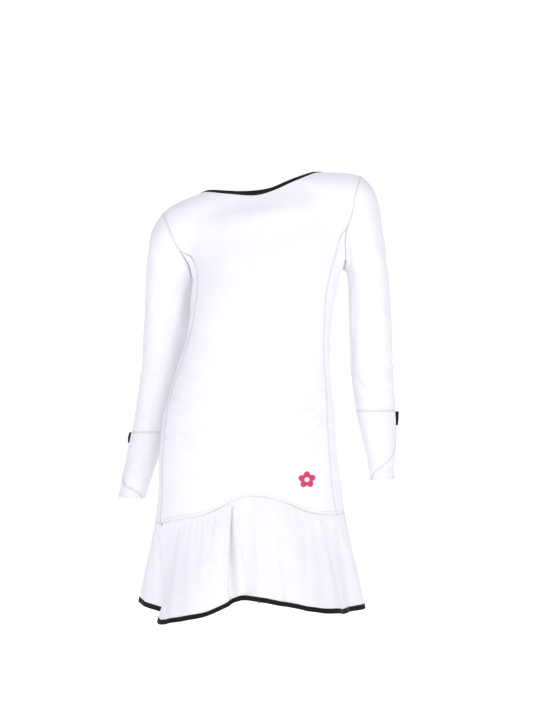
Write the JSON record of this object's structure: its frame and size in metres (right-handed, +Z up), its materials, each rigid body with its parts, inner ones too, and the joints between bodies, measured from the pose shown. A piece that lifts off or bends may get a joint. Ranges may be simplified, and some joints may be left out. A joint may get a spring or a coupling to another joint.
{
  "type": "long-sleeve dress",
  "caption": "Long-sleeve jersey dress, filled out as worn, with a boat neck, side panels, and a dropped curved seam over a waved flounce, edged in dark tape.",
  "frame": {"origin": "midway between the two points where the shoulder seams meet the neck, on the line the wearer's shoulders hold up", "axes": "+Z up, the front faces -Y, +X towards the wearer's left; left and right in node names are the wearer's"},
  "size_m": [0.5558, 0.3668, 0.8595],
  "materials": {
    "white_jersey": "soft matt knit",
    "black_trim": "matt tape"
  },
  "bodies": {
    "root": {"front_panel": "white_jersey", "back_panel": "white_jersey", "side_panel_left": "white_jersey", "side_panel_right": "white_jersey", "sleeve_left": "white_jersey", "sleeve_right": "white_jersey", "forearm_front_left": "white_jersey", "forearm_front_right": "white_jersey", "forearm_back_left": "white_jersey", "forearm_back_right": "white_jersey", "flounce_front": "white_jersey", "flounce_back": "white_jersey", "hem_binding": "black_trim", "neck_binding": "black_trim", "sleeve_tab_left": "black_trim", "sleeve_tab_right": "black_trim"}
  },
  "joints": []
}
